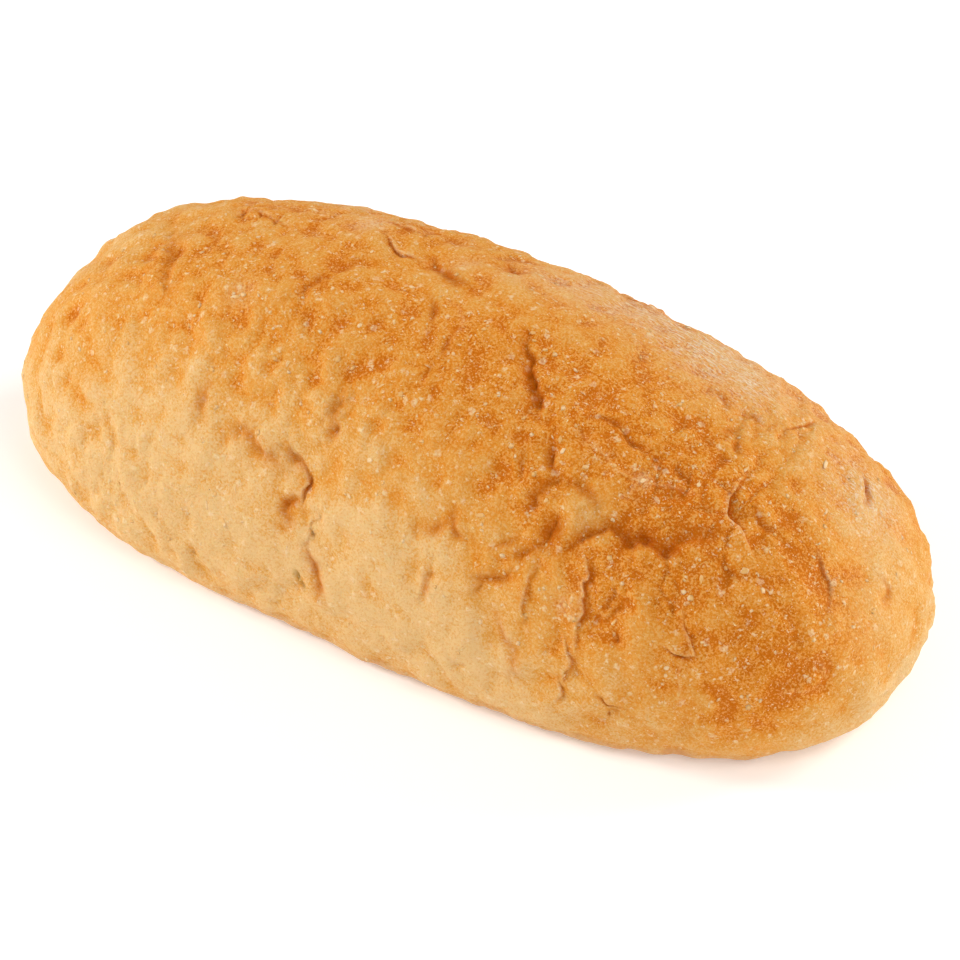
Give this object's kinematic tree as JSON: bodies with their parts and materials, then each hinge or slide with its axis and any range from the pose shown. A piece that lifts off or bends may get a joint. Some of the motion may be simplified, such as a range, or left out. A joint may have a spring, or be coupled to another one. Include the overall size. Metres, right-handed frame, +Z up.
{
  "type": "sourdough loaf",
  "caption": "Whole oval loaf of bread with a domed, softly wrinkled golden crust and a flat base that it stands on.",
  "frame": {"origin": "middle of the loaf's length and width, on the plane that it rests on", "axes": "+X along the loaf towards its wider, lower end; +Y across it; +Z up"},
  "size_m": [0.26, 0.115, 0.088],
  "materials": {
    "crust": "matte baked crust"
  },
  "bodies": {
    "root": {"loaf": "crust"}
  },
  "joints": []
}
